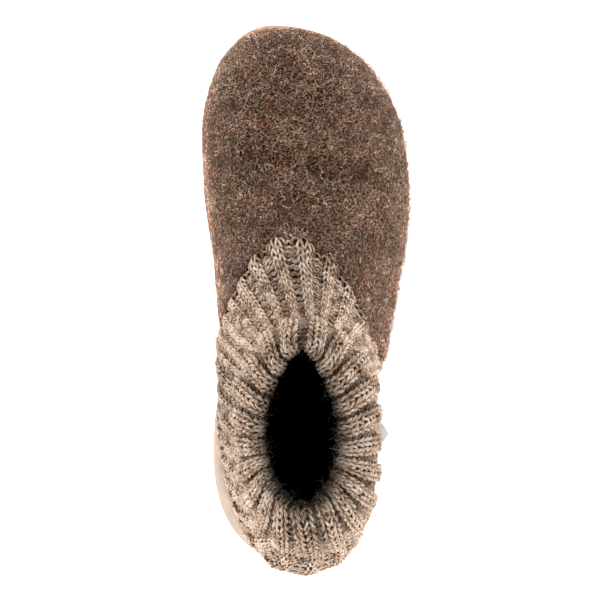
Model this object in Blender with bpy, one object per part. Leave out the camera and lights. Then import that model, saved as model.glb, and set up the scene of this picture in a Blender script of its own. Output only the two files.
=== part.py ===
"""Right hut slipper, standing on its sole: a soft wrap sole with a heel cup, an insole, a felt vamp,
a rib-knit quarter and collar with a turned-down cuff, and a small blank side tab.

Sizes are in millimetres until the objects are made. +X points to the little toe, +Y to the toe, +Z up."""

import math

import bmesh
import bpy
import numpy as np

MM = 0.001
GAP = 0.3

# Plan of the shoe seen from above: the widest line of sole, felt and heel
TOE_TIP = (-10.6, 132.6)
MEDIAL_BALL = (-47.3, 72.0)
MEDIAL_WAIST = (-39.1, -15.0)
MEDIAL_HEEL = (-42.4, -75.0)
HEEL_END = (-3.0, -126.5)
LATERAL_HEEL = (37.5, -62.0)
LATERAL_BALL = (52.6, 50.0)
MEDIAL_TOE_POWER = 2.4
LATERAL_TOE_POWER = 2.25
HEEL_POWER = 2.25

# Sole: a tray of soft hide, low in front and cupped round the heel
SOLE_FLOOR = 5.0
SOLE_WALL = 4.2
SOLE_FLAT_INSET = 7.0
SOLE_WIDE_Z = 9.0
SOLE_FORE_INSET = 3.0
RIM_Z = 13.0
HEEL_CUP_RISE = 22.0
HEEL_CUP_LEAN = 6.5
HEEL_CUP_FROM_Y, HEEL_CUP_TO_Y = -35.0, -98.0
TOE_SPRING = 7.0
TOE_SPRING_FROM_Y = 86.0
WAIST_LIFT = 2.5
WAIST_FROM_Y, WAIST_TO_Y = -50.0, 18.0
SOLE_STEPS = 64

INSOLE_THICK = 4.5

# Felt vamp
FELT_WALL = 4.5
FELT_TUCK = 3.0
FELT_TOE_INSET = 1.2
FELT_WIDE_Z = 23.0
TOE_HEIGHT = 42.0
INSTEP_SLOPE = 0.075
INSTEP_CURVE = 0.00147
TOE_CAP_FROM_Y = 62.0
TOE_CAP_POWER = 2.6
DOME_POWER_TOE = 2.35
DOME_POWER_INSTEP = 1.8
RIDGE_X = -6.0
RIDGE_END_Y = 84.0
THROAT_Y = 28.0
THROAT_CURVE_MEDIAL = 0.041
THROAT_CURVE_LATERAL = 0.029
VAMP_ROWS = 14
VAMP_COLUMNS = 17
RIDGE_COLUMNS = 11
THROAT_GAP = 0.4

# Knitted quarter and collar
KNIT_WALL = 4.0
CUFF_LAYER = 4.5
CUFF_RIBS = 21
STEPS_PER_RIB = 4
AROUND = CUFF_RIBS * STEPS_PER_RIB
CUFF_RIB_HEIGHT = 1.1
LOWER_RIB_HEIGHT = 0.7
RIM_DROP = 5.0
CREST_WIDTH = 5.0
LOWER_STEPS = 6
CUFF_STEPS = 4

# Free edge of the cuff and edge of the opening, in plan, from the front round by the lateral side: name, x, y
CUFF_EDGE = (
    ("front", 2.0, -7.0),
    ("front lateral", 20.5, -15.5),
    ("side lateral", 34.0, -32.5),
    ("lateral", 37.0, -62.0),
    ("rear lateral", 33.0, -97.0),
    ("back lateral", 17.0, -114.0),
    ("back", 3.0, -117.0),
    ("back medial", -13.0, -111.5),
    ("rear medial", -25.5, -92.0),
    ("medial", -31.5, -58.0),
    ("side medial", -28.3, -31.3),
    ("front medial", -15.0, -14.0),
)
OPENING = (
    ("front", 0.8, -23.0),
    ("front lateral", 10.5, -37.0),
    ("lateral", 16.5, -59.0),
    ("rear lateral", 11.5, -82.0),
    ("back", 1.0, -90.5),
    ("rear medial", -11.0, -79.0),
    ("medial", -15.5, -57.0),
    ("front medial", -9.0, -35.0),
)

# Collar from front to back: name, share of the way to the back, fullness of the wall on the lateral
# and on the medial side, height of the cuff's free edge, tilt of the wall in degrees, height of the fold
COLLAR = (
    ("front", 0.0, 0.0, 0.0, 95.0, 50.0, 113.0),
    ("instep", 0.18, 2.0, 2.0, 91.0, 42.0, 112.0),
    ("corner", 0.35, 4.0, 17.0, 86.0, 25.0, 111.0),
    ("side", 0.5, 6.0, 7.5, 84.5, 15.0, 110.0),
    ("quarter", 0.66, 8.0, 4.5, 84.0, 12.0, 110.0),
    ("heel", 0.85, 20.0, 7.0, 85.0, 12.0, 111.0),
    ("back", 1.0, 24.0, 24.0, 87.0, 15.0, 113.0),
)
SHARE, FULL_LATERAL, FULL_MEDIAL, CUFF_Z, TILT, FOLD_Z = range(1, 7)

# Blank folded tab under the cuff on the lateral side
TAB_CENTRE_Y = -61.5
TAB_Z = 73.0
TAB_LONG = 13.0
TAB_OUT = 5.5
TAB_THICK = 1.6
TAB_DROOP = 0.25

MATERIALS = {
    "suede": ((0.56, 0.43, 0.32), 0.9),
    "insole_felt": ((0.10, 0.08, 0.07), 0.95),
    "brown_felt": ((0.13, 0.085, 0.06), 0.95),
    "marl_knit": ((0.30, 0.22, 0.17), 0.95),
    "tab_cloth": ((0.60, 0.54, 0.53), 0.85),
}


def smooth(value, start, end):
    """0 at start, 1 at end, with level ends."""
    t = np.clip((np.asarray(value, float) - start) / (end - start), 0.0, 1.0)
    return t * t * (3.0 - 2.0 * t)


def unit(vectors):
    return vectors / np.maximum(np.linalg.norm(vectors, axis=-1, keepdims=True), 1e-9)


def end_curve(y, side, tip, power):
    """x on the rounded toe or heel between the side point and the tip, a quarter of a superellipse."""
    t = np.clip((y - side[1]) / (tip[1] - side[1]), 0.0, 1.0)
    return tip[0] + (side[0] - tip[0]) * (1.0 - t**power) ** (1.0 / power)


def medial_x(y):
    y = np.asarray(y, float)
    waist = MEDIAL_HEEL[0] + (MEDIAL_WAIST[0] - MEDIAL_HEEL[0]) * smooth(y, MEDIAL_HEEL[1], MEDIAL_WAIST[1])
    ball = (MEDIAL_BALL[0] - MEDIAL_WAIST[0]) * smooth(y, MEDIAL_WAIST[1], MEDIAL_BALL[1])
    toe = end_curve(y, MEDIAL_BALL, TOE_TIP, MEDIAL_TOE_POWER)
    heel = end_curve(y, MEDIAL_HEEL, HEEL_END, HEEL_POWER)
    return np.where(y > MEDIAL_BALL[1], toe, np.where(y < MEDIAL_HEEL[1], heel, waist + ball))


def lateral_x(y):
    y = np.asarray(y, float)
    side = LATERAL_HEEL[0] + (LATERAL_BALL[0] - LATERAL_HEEL[0]) * smooth(y, LATERAL_HEEL[1], LATERAL_BALL[1])
    toe = end_curve(y, LATERAL_BALL, TOE_TIP, LATERAL_TOE_POWER)
    heel = end_curve(y, LATERAL_HEEL, HEEL_END, HEEL_POWER)
    return np.where(y > LATERAL_BALL[1], toe, np.where(y < LATERAL_HEEL[1], heel, side))


def plan_ring(steps):
    """Closed outline from the toe tip by the lateral side to the heel and back by the medial side."""
    turn = np.pi * np.arange(steps + 1) / steps
    y = (TOE_TIP[1] + HEEL_END[1]) / 2 + (TOE_TIP[1] - HEEL_END[1]) / 2 * np.cos(turn)
    lateral = np.column_stack([lateral_x(y), y])
    medial = np.column_stack([medial_x(y), y])[-2:0:-1]
    return np.vstack([lateral, medial])


def inward(ring):
    """Unit plan normals into a ring that runs clockwise seen from above."""
    along = unit(np.roll(ring, -1, axis=0) - np.roll(ring, 1, axis=0))
    return np.column_stack([along[:, 1], -along[:, 0]])


def toe_spring(y):
    t = np.clip(y - TOE_SPRING_FROM_Y, 0, None) / (TOE_TIP[1] - TOE_SPRING_FROM_Y)
    return TOE_SPRING * t**2


def bottom_z(y):
    """Underside of the sole: flat at heel and forefoot, lifted at the waist and the toe."""
    t = np.clip((y - WAIST_FROM_Y) / (WAIST_TO_Y - WAIST_FROM_Y), 0, 1)
    return toe_spring(y) + WAIST_LIFT * np.sin(np.pi * t) ** 2


def heel_cup(y):
    return smooth(y, HEEL_CUP_FROM_Y, HEEL_CUP_TO_Y)


def rim_z(y):
    """Top of the sole's wall."""
    return RIM_Z + 0.7 * toe_spring(y) + HEEL_CUP_RISE * heel_cup(y)


def toe_share(y):
    return smooth(y, 108.0, 130.0)


def sole_inset(y):
    """How far the sole's widest line lies inside the plan: under the felt in front, at the edge elsewhere."""
    return SOLE_FORE_INSET * smooth(y, -62.0, -25.0) * (1.0 - toe_share(y))


def rim_inset(y):
    """How far the rim lies inside the plan: the heel cup leans in, less so at its very back."""
    return sole_inset(y) + HEEL_CUP_LEAN * heel_cup(y) * (1.0 - 0.4 * smooth(y, -105.0, HEEL_END[1]))


def felt_inset(y):
    return FELT_TOE_INSET * toe_share(y)


def object_of(name, mesh_data, material):
    """A named object with its own material, from a finished bmesh in millimetres."""
    bmesh.ops.remove_doubles(mesh_data, verts=mesh_data.verts, dist=1e-3)
    bmesh.ops.recalc_face_normals(mesh_data, faces=mesh_data.faces)
    bmesh.ops.scale(mesh_data, vec=(MM, MM, MM), verts=mesh_data.verts)
    mesh = bpy.data.meshes.new(name)
    mesh_data.to_mesh(mesh)
    mesh_data.free()
    mesh.shade_smooth()
    mesh.set_sharp_from_angle(angle=math.radians(50))
    thing = bpy.data.objects.new(name, mesh)
    bpy.context.scene.collection.objects.link(thing)
    colour, rough = MATERIALS[material]
    look = bpy.data.materials.new(material)
    look.use_nodes = True
    shader = look.node_tree.nodes["Principled BSDF"]
    shader.inputs["Base Color"].default_value = (*colour, 1.0)
    shader.inputs["Roughness"].default_value = rough
    mesh.materials.append(look)
    return thing


def add_points(mesh_data, points):
    return [mesh_data.verts.new(p) for p in points]


def skin(mesh_data, first, second, closed=True):
    """Quads between two rows of points."""
    count = len(first)
    for i in range(count if closed else count - 1):
        k = (i + 1) % count
        mesh_data.faces.new((first[i], first[k], second[k], second[i]))


def zip_across(mesh_data, ring):
    """Fills a ring that starts at the toe tip with strips from the lateral to the medial side."""
    count = len(ring)
    half = count // 2
    mesh_data.faces.new((ring[0], ring[1], ring[count - 1]))
    for i in range(1, half - 1):
        mesh_data.faces.new((ring[i], ring[i + 1], ring[count - i - 1], ring[count - i]))
    mesh_data.faces.new((ring[half - 1], ring[half], ring[half + 1]))


def raised(plan, z):
    return np.column_stack([plan, np.broadcast_to(z, len(plan))])


def make_sole():
    plan = plan_ring(SOLE_STEPS)
    into = inward(plan)
    y = plan[:, 1]
    base = bottom_z(y)
    top = rim_z(y)
    edge = sole_inset(y)
    wide = base + SOLE_WIDE_Z * (1.0 - 0.3 * toe_share(y))

    def row(inset, z):
        return raised(plan + into * np.reshape(inset, (-1, 1)), z)

    rows = [row(edge + SOLE_FLAT_INSET, base)]
    for turn in (30, 60, 90):
        out, up = math.sin(math.radians(turn)), 1 - math.cos(math.radians(turn))
        rows.append(row(edge + SOLE_FLAT_INSET * (1 - out), base + (wide - base) * up))
    for share in (0.35, 0.7, 1.0):
        rows.append(row(edge + (rim_inset(y) - edge) * share**2, wide + (top - wide) * share))
    floor = base + SOLE_FLOOR
    rows.append(row(rim_inset(y) + SOLE_WALL, top))
    rows.append(row(edge + SOLE_WALL + (rim_inset(y) - edge) * 0.3, floor + 0.45 * (top - floor)))
    rows.append(row(edge + SOLE_WALL + 0.8, floor))
    mesh_data = bmesh.new()
    rings = [add_points(mesh_data, points) for points in rows]
    for first, second in zip(rings, rings[1:]):
        skin(mesh_data, first, second)
    zip_across(mesh_data, rings[0])
    zip_across(mesh_data, rings[-1])
    return object_of("sole", mesh_data, "suede")


def make_insole():
    plan = plan_ring(SOLE_STEPS)
    into = inward(plan)
    y = plan[:, 1]
    inset = np.reshape(sole_inset(y) + SOLE_WALL + 1.4, (-1, 1))
    low = bottom_z(y) + SOLE_FLOOR + GAP
    lean = np.reshape(1.0 + HEEL_CUP_LEAN * 0.12 * heel_cup(y), (-1, 1))
    mesh_data = bmesh.new()
    rings = [
        add_points(mesh_data, raised(plan + into * inset, low)),
        add_points(mesh_data, raised(plan + into * (inset + lean * 0.4), low + INSOLE_THICK - 1.2)),
        add_points(mesh_data, raised(plan + into * (inset + lean * 0.4 + 1.2), low + INSOLE_THICK)),
    ]
    for first, second in zip(rings, rings[1:]):
        skin(mesh_data, first, second)
    zip_across(mesh_data, rings[0])
    zip_across(mesh_data, rings[-1])
    return object_of("insole", mesh_data, "insole_felt")


def crown_z(y):
    """Height of the felt along its ridge."""
    back = TOE_TIP[1] - y
    height = TOE_HEIGHT + INSTEP_SLOPE * back + INSTEP_CURVE * back**2
    t = np.clip((y - TOE_CAP_FROM_Y) / (TOE_TIP[1] - FELT_TOE_INSET - TOE_CAP_FROM_Y), 0, 1)
    return FELT_WIDE_Z + (height - FELT_WIDE_Z) * (1.0 - t**TOE_CAP_POWER) ** (1.0 / TOE_CAP_POWER)


def dome_z(x, y, outer_x):
    """Height of the felt at a plan point, between its ridge and its widest line."""
    across = np.clip((x - RIDGE_X) / (outer_x - RIDGE_X), 0, 1)
    power = DOME_POWER_INSTEP + (DOME_POWER_TOE - DOME_POWER_INSTEP) * smooth(y, -10.0, 75.0)
    return FELT_WIDE_Z + (crown_z(y) - FELT_WIDE_Z) * (1.0 - across**power) ** (1.0 / power)


def felt_side_x(y, side):
    """The felt's widest line in plan, drawn in a little round the toe."""
    ball = MEDIAL_BALL[1]
    stretch = (TOE_TIP[1] - ball) / (TOE_TIP[1] - FELT_TOE_INSET - ball)
    scaled = np.where(y > ball, ball + (y - ball) * stretch, y)
    edge = medial_x(scaled) if side < 0 else lateral_x(scaled)
    return edge - side * felt_inset(y) * 0.8


def throat_corner(side):
    """Plan point where the throat line comes down to the sole."""
    curve = THROAT_CURVE_MEDIAL if side < 0 else THROAT_CURVE_LATERAL
    y = -20.0
    for _ in range(60):
        y = 0.5 * y + 0.5 * (THROAT_Y - curve * (float(felt_side_x(y, side)) - RIDGE_X) ** 2)
    return y


def even_path(points, count):
    """The polyline's points at count + 1 equal steps along it."""
    length = np.concatenate([[0], np.cumsum(np.linalg.norm(np.diff(points, axis=0), axis=1))])
    wanted = np.linspace(0, length[-1], count + 1)
    return np.column_stack([np.interp(wanted, length, points[:, k]) for k in range(points.shape[1])])


def vamp_column(step, side, first_y):
    """Outer points of the felt from the sole's rim up to the ridge; column 0 is the throat line."""
    tip = TOE_TIP[1] - FELT_TOE_INSET
    y_edge = first_y + (tip - first_y) * math.sin(math.pi / 2 * step / VAMP_COLUMNS)
    edge = np.array([float(felt_side_x(y_edge, side)), y_edge])
    share = min(1.0, step / RIDGE_COLUMNS)
    ridge = np.array([RIDGE_X, THROAT_Y + (RIDGE_END_Y - THROAT_Y) * share])
    bent = np.array([(edge[0] + ridge[0]) / 2, ridge[1]])
    control = bent + ((edge + ridge) / 2 - bent) * min(1.0, 1.5 * share)
    t = np.linspace(0, 1, 240).reshape(-1, 1) ** 1.6
    plan = (1 - t) ** 2 * edge + 2 * t * (1 - t) * control + t**2 * ridge
    inside_y = np.minimum(plan[:, 1], tip)
    z = dome_z(plan[:, 0], inside_y, felt_side_x(inside_y, side))
    z[0] = FELT_WIDE_Z
    into = np.array([0.0, -1.0])
    if step < VAMP_COLUMNS:
        lean = float(felt_side_x(y_edge + 0.01, side) - felt_side_x(y_edge - 0.01, side))
        into = unit(np.array([-side * 0.02, side * lean]))
    low_z = float(rim_z(y_edge)) + GAP
    tuck = np.linspace(0, 1, 30)[:-1]
    low_plan = edge + np.outer((1 - tuck) ** 2 * FELT_TUCK, into)
    low = np.column_stack([low_plan, low_z + (FELT_WIDE_Z - low_z) * tuck])
    return even_path(np.vstack([low, np.column_stack([plan, z])]), VAMP_ROWS), into


def vamp_grid():
    """Outer and inner points of the felt, column by column from the medial throat line round the toe."""
    columns = []
    for side in (-1, 1):
        half = [vamp_column(step, side, throat_corner(side)) for step in range(VAMP_COLUMNS + 1)]
        columns += half if side < 0 else half[-2::-1]
    outer = np.array([points for points, _ in columns])
    into = np.array([direction for _, direction in columns])
    normal = unit(np.cross(np.gradient(outer, axis=1), np.gradient(outer, axis=0)))
    slope = (crown_z(outer[:, -1, 1] + 0.5) - crown_z(outer[:, -1, 1] - 0.5)).reshape(-1, 1)
    normal[:, -1] = unit(np.hstack([np.zeros_like(slope), -slope, np.ones_like(slope)]))
    inner = outer - FELT_WALL * normal
    inner[:, 0] = outer[:, 0] + np.column_stack([into * FELT_WALL, np.zeros(len(into))])
    return outer, inner


def make_vamp(outer, inner):
    mesh_data = bmesh.new()
    outside = [add_points(mesh_data, column) for column in outer]
    inside = [add_points(mesh_data, column) for column in inner]
    for wall in (outside, inside):
        for first, second in zip(wall, wall[1:]):
            skin(mesh_data, first, second, closed=False)
    skin(mesh_data, [c[0] for c in outside], [c[0] for c in inside], closed=False)
    skin(mesh_data, outside[0], inside[0], closed=False)
    skin(mesh_data, outside[-1], inside[-1], closed=False)
    return object_of("felt_vamp", mesh_data, "brown_felt")


def closed_curve(table, count):
    """Points at equal steps on a smooth closed curve through the table's points, from its first."""
    points = np.array([row[1:3] for row in table], float)
    total = len(points)
    dense = []
    for i in range(total):
        p0, p1, p2, p3 = (points[(i + k) % total] for k in (-1, 0, 1, 2))
        spans = ((p0, p1), (p1, p2), (p2, p3))
        k1, k2, k3 = np.cumsum([math.sqrt(np.linalg.norm(b - a)) for a, b in spans])
        for at in np.linspace(k1, k2, 24, endpoint=False):
            a1 = p0 + (p1 - p0) * at / k1
            a2 = p1 + (p2 - p1) * (at - k1) / (k2 - k1)
            a3 = p2 + (p3 - p2) * (at - k2) / (k3 - k2)
            b1 = a1 + (a2 - a1) * at / k2
            b2 = a2 + (a3 - a2) * (at - k1) / (k3 - k1)
            dense.append(b1 + (b2 - b1) * (at - k1) / (k2 - k1))
    dense.append(dense[0])
    return even_path(np.array(dense), count)[:-1]


def knit_base(outer, inner):
    """Lower edge of the knit, outside and inside, from the front ridge round by the lateral side.

    In front it follows the throat line just behind the felt, behind that the rim of the sole."""
    throat_out = np.vstack([outer[0], outer[-1][-2::-1]])
    throat_in = np.vstack([inner[0], inner[-1][-2::-1]])
    along = np.gradient(throat_out, axis=0)
    back = unit(np.cross(throat_out - throat_in, along))
    back *= np.where(back[:, 1:2] > 0, -1.0, 1.0)
    throat_out = throat_out + back * THROAT_GAP
    throat_in = throat_in + back * THROAT_GAP
    plan = plan_ring(400)
    into = inward(plan)
    rim = raised(plan + into * np.reshape(rim_inset(plan[:, 1]), (-1, 1)), rim_z(plan[:, 1]) + GAP)
    first = np.argmin(np.linalg.norm(rim[:400] - throat_out[-1], axis=1))
    last = 400 + np.argmin(np.linalg.norm(rim[400:] - throat_out[0], axis=1))
    rear_out = even_path(rim[first:last + 1], AROUND - 2 * VAMP_ROWS)[1:-1]
    ends = np.vstack([throat_out[-1:], rear_out, throat_out[:1]])
    run = unit(ends[2:, :2] - ends[:-2, :2])
    rear_in = rear_out + KNIT_WALL * raised(np.column_stack([run[:, 1], -run[:, 0]]), 0.0)
    lateral = slice(VAMP_ROWS, None)
    medial = slice(0, VAMP_ROWS)
    return (
        np.vstack([throat_out[lateral], rear_out, throat_out[medial]]),
        np.vstack([throat_in[lateral], rear_in, throat_in[medial]]),
    )


def collar_value(column):
    """A column of the collar's table for every step round it, with its corners softened."""
    step = np.arange(AROUND)
    share = np.minimum(step, AROUND - step) / (AROUND / 2)
    values = np.interp(share, [row[SHARE] for row in COLLAR], [row[column] for row in COLLAR])
    weights = ((-2, 1), (-1, 2), (0, 3), (1, 2), (2, 1))
    return sum(np.roll(values, move) * weight for move, weight in weights) / 9


def curve_rows(start, control, end, shares):
    """Rows of points along the curves from start by control to end."""
    return [(1 - t) ** 2 * start + 2 * t * (1 - t) * control + t**2 * end for t in shares]


def make_collar(base_out, base_in):
    edge_plan = closed_curve(CUFF_EDGE, AROUND)
    hole_plan = closed_curve(OPENING, AROUND)
    out_plan = -inward(edge_plan)
    hole_out = -inward(hole_plan)
    cuff_z = collar_value(CUFF_Z)
    tilt = np.radians(collar_value(TILT))
    lateral = np.arange(AROUND) < AROUND / 2
    full = np.where(lateral, collar_value(FULL_LATERAL), collar_value(FULL_MEDIAL)).reshape(-1, 1)
    wall = np.column_stack([out_plan * np.cos(tilt).reshape(-1, 1), np.sin(tilt)])
    flat_out = np.column_stack([out_plan, np.zeros(AROUND)])

    cuff_edge = raised(edge_plan, cuff_z)
    under_cuff = cuff_edge - wall * CUFF_LAYER
    inner_cuff = under_cuff - wall * KNIT_WALL
    fold = raised(hole_plan + hole_out * CREST_WIDTH, collar_value(FOLD_Z))
    opening = raised(hole_plan, collar_value(FOLD_Z) - RIM_DROP)

    step = np.arange(AROUND)
    cuff_rib = -np.cos(2 * np.pi * step / STEPS_PER_RIB).reshape(-1, 1) * CUFF_RIB_HEIGHT
    lower_rib = np.cos(np.pi * step).reshape(-1, 1) * LOWER_RIB_HEIGHT

    shares = np.linspace(0, 1, LOWER_STEPS)
    bulge = (base_out + under_cuff) / 2 + flat_out * full
    rows = curve_rows(base_out, bulge, under_cuff, shares)
    rows = [points + flat_out * lower_rib * math.sin(math.pi * t) for points, t in zip(rows, shares)]
    rows.append(cuff_edge + wall * cuff_rib * 0.6)
    shoulder = cuff_edge * 0.8 + fold * 0.2
    shoulder[:, 2] = cuff_edge[:, 2] + 0.8 * (fold[:, 2] - cuff_edge[:, 2])
    shares = np.linspace(0, 1, CUFF_STEPS + 1)[1:]
    for points, t in zip(curve_rows(cuff_edge, shoulder, fold, shares), shares):
        rows.append(points + wall * cuff_rib * (1 - 0.7 * t))
    rows.append((fold + opening) / 2 - np.column_stack([hole_out * 1.4, np.full(AROUND, -1.2)]))
    rows.append(opening)
    inner_bulge = (base_in + inner_cuff) / 2 + flat_out * full
    rows += curve_rows(base_in, inner_bulge, inner_cuff, np.linspace(0, 1, LOWER_STEPS))[::-1]

    mesh_data = bmesh.new()
    rings = [add_points(mesh_data, points) for points in rows]
    for first, second in zip(rings, rings[1:] + rings[:1]):
        skin(mesh_data, first, second)
    return object_of("knit_collar", mesh_data, "marl_knit"), np.stack(rows[:LOWER_STEPS], axis=1)


def make_tab(lower_wall):
    """A small flat tab with a blunt point, standing out from the lateral wall just under the cuff."""
    height = TAB_Z - TAB_THICK
    at_tab = np.array([[np.interp(height, wall[:, 2], wall[:, k]) for k in (0, 1)] for wall in lower_wall])
    beside = (at_tab[:, 0] > 0) & (abs(at_tab[:, 1] - TAB_CENTRE_Y) < 0.7 * TAB_LONG)
    root = at_tab[beside, 0].max() + GAP
    half = TAB_LONG / 2
    bend, narrow = 0.55 * TAB_OUT, 0.6 * half
    plan = ((0.0, -half), (bend, -narrow), (TAB_OUT, 0.0), (bend, narrow), (0.0, half))
    mesh_data = bmesh.new()
    rows = []
    for level in (TAB_Z - TAB_THICK / 2, TAB_Z + TAB_THICK / 2):
        points = [(root + out, TAB_CENTRE_Y + along, level - TAB_DROOP * out) for out, along in plan]
        rows.append(add_points(mesh_data, points))
    skin(mesh_data, rows[0], rows[1])
    for row in rows:
        mesh_data.faces.new(row)
    return object_of("side_tab", mesh_data, "tab_cloth")


def centre_on_floor():
    """Moves every mesh so that the middle of the shoe's box stands on the origin."""
    points = np.array([v.co[:] for thing in bpy.data.objects for v in thing.data.vertices])
    low, high = points.min(axis=0), points.max(axis=0)
    shift = ((low[0] + high[0]) / 2, (low[1] + high[1]) / 2, low[2])
    for thing in bpy.data.objects:
        for vertex in thing.data.vertices:
            vertex.co = [value - move for value, move in zip(vertex.co, shift)]


for old in list(bpy.data.objects):
    bpy.data.objects.remove(old, do_unlink=True)

make_sole()
make_insole()
felt_outer, felt_inner = vamp_grid()
make_vamp(felt_outer, felt_inner)
_, collar_wall = make_collar(*knit_base(felt_outer, felt_inner))
make_tab(collar_wall)
centre_on_floor()
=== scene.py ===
"""Looks of the right hut slipper: fulled felt with loose curly fibres, a marled rib knit of real yarn loops
with a turned-down cuff, a napped suede sole, a dark insole and a small blank tab.

Shapes are worked out in millimetres in the plan's own frame, +X to the little toe and +Y to the toe."""

import math

import bpy
import numpy as np
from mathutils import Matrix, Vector


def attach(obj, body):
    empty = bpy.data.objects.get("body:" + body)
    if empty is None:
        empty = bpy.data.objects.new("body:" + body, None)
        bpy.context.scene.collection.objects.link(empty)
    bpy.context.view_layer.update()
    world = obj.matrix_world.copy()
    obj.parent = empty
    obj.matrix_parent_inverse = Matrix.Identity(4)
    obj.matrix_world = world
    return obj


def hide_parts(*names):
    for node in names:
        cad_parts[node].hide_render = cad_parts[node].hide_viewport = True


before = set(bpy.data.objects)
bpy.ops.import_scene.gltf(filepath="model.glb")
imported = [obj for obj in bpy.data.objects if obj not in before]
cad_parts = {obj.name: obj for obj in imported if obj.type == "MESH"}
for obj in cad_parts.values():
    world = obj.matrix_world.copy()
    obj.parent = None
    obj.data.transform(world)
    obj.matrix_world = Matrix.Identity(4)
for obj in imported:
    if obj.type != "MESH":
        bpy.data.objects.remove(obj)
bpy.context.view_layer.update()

# A millimetre, the plan's point that is the frame's origin, and the seed of the random draws
MM = 0.001
PLAN_MIDDLE = np.array([2.62, 1.51, 0.0])
SEED = 41

# Camera straight above the shoe, then the floor's size and glow and the room's own light
CAMERA_HEIGHT = 1.2
CAMERA_LENS = 146.5
CAMERA_SENSOR = 36.0
FLOOR_SIZE = 20.0
FLOOR_GLOW = 0.85
ROOM_LIGHT = 0.20

# Softboxes in metres: name, place, the point that they face, power
SOFTBOX_SIZE = 0.6
SOFTBOXES = (
    ("left softbox", (-0.95, 0.05, 0.32), (0.0, 0.0, 0.05), 18.2),
    ("right softbox", (0.95, 0.05, 0.32), (0.0, 0.0, 0.05), 18.2),
    ("toe softbox", (0.0, 1.0, 0.38), (0.0, 0.1, 0.03), 12.5),
    ("heel softbox", (0.0, -1.0, 0.38), (0.0, -0.1, 0.05), 19.5),
)

# Plan, sole and felt, as in the part's source
TOE_TIP = (-10.6, 132.6)
MEDIAL_BALL = (-47.3, 72.0)
MEDIAL_WAIST = (-39.1, -15.0)
MEDIAL_HEEL = (-42.4, -75.0)
HEEL_END = (-3.0, -126.5)
LATERAL_HEEL = (37.5, -62.0)
LATERAL_BALL = (52.6, 50.0)
MEDIAL_TOE_POWER = 2.4
LATERAL_TOE_POWER = 2.25
HEEL_POWER = 2.25
SOLE_FORE_INSET = 3.0
SOLE_INSET_FROM_Y, SOLE_INSET_TO_Y = -62.0, -25.0
RIM_Z = 13.0
HEEL_CUP_RISE = 22.0
HEEL_CUP_LEAN = 6.5
HEEL_CUP_FROM_Y, HEEL_CUP_TO_Y = -35.0, -98.0
HEEL_CUP_EASE = 0.4
HEEL_CUP_EASE_Y = -105.0
FELT_TUCK = 3.0
FELT_WIDE_Z = 23.0
TOE_HEIGHT = 42.0
INSTEP_SLOPE = 0.075
INSTEP_CURVE = 0.00147
DOME_POWER_TOE = 2.35
DOME_POWER_INSTEP = 1.8
DOME_POWER_FROM_Y, DOME_POWER_TO_Y = -10.0, 75.0
RIDGE_X = -6.0
THROAT_Y = 28.0
THROAT_CURVE = {-1: 0.041, 1: 0.029}
GAP = 0.3

# Knit, as in the part's source
KNIT_WALL = 4.0
CUFF_LAYER = 4.5
RIM_DROP = 5.0
CREST_WIDTH = 5.0
CUFF_EDGE = (
    ("front", 2.0, -7.0),
    ("front lateral", 20.5, -15.5),
    ("side lateral", 34.0, -32.5),
    ("lateral", 37.0, -62.0),
    ("rear lateral", 33.0, -97.0),
    ("back lateral", 17.0, -114.0),
    ("back", 3.0, -117.0),
    ("back medial", -13.0, -111.5),
    ("rear medial", -25.5, -92.0),
    ("medial", -31.5, -58.0),
    ("side medial", -28.3, -31.3),
    ("front medial", -15.0, -14.0),
)
OPENING = (
    ("front", 0.8, -23.0),
    ("front lateral", 10.5, -37.0),
    ("lateral", 16.5, -59.0),
    ("rear lateral", 11.5, -82.0),
    ("back", 1.0, -90.5),
    ("rear medial", -11.0, -79.0),
    ("medial", -15.5, -57.0),
    ("front medial", -9.0, -35.0),
)
# Collar from front to back: name, share of the way to the back, fullness of the wall on the lateral
# and on the medial side, height of the cuff's free edge, tilt of the wall in degrees, height of the fold
COLLAR = (
    ("front", 0.0, 0.0, 0.0, 95.0, 50.0, 113.0),
    ("instep", 0.18, 2.0, 2.0, 91.0, 42.0, 112.0),
    ("corner", 0.35, 4.0, 17.0, 86.0, 25.0, 111.0),
    ("side", 0.5, 6.0, 7.5, 84.5, 15.0, 110.0),
    ("quarter", 0.66, 8.0, 4.5, 84.0, 12.0, 110.0),
    ("heel", 0.85, 20.0, 7.0, 85.0, 12.0, 111.0),
    ("back", 1.0, 24.0, 24.0, 87.0, 15.0, 113.0),
)
SHARE, FULL_LATERAL, FULL_MEDIAL, CUFF_Z, TILT, FOLD_Z = range(1, 7)

# Yarn loops: wales are the columns of stitches, courses the rows; a rib is two knit and two purl wales. The
# knit wales' share of a rib and its height have a first value, a change, and where that begins and ends
ROUND = 420
# The valley entry of the knits below is painted shade in the purl valleys
CUFF_KNIT = {
    "wales": 84, "courses": 16, "points": 12, "sides": 5, "height": 0.95,
    "yarn": 0.68, "depth": 0.62, "first": 0.05, "valley_shade": 0.30,
    "knit_share": (0.54, 0.26, 0.08, 0.5), "rib_height": (1.25, -0.75, 0.45, 0.8),
}
LOWER_KNIT = {
    "wales": 128, "courses": 13, "points": 12, "sides": 4, "height": 0.80,
    "yarn": 0.66, "depth": 0.62, "first": 0.05, "valley_shade": 0.06,
    "knit_share": (0.52, 0.0, 0.0, 1.0), "rib_height": (0.5, 0.0, 0.0, 1.0),
}
LOWER_THROAT_WALES = 28
RIB_END_SCALLOP = 0.03
RIB_SHARPNESS = 2.4
LOOP_WAIST = 0.27

# How uneven the stitches are: height of a loop, place along and across its wale, lift and thickness
UNEVEN = {"height": 0.10, "along": 0.10, "across": 0.05, "lift": 0.14, "thickness": 0.10}

# Twist of the yarn: length of one turn, strands round the yarn, length of a strand
TWIST_LENGTH = 7.0
STRANDS_ROUND_YARN = 7.0
STRAND_LENGTH = 2.6

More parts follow.
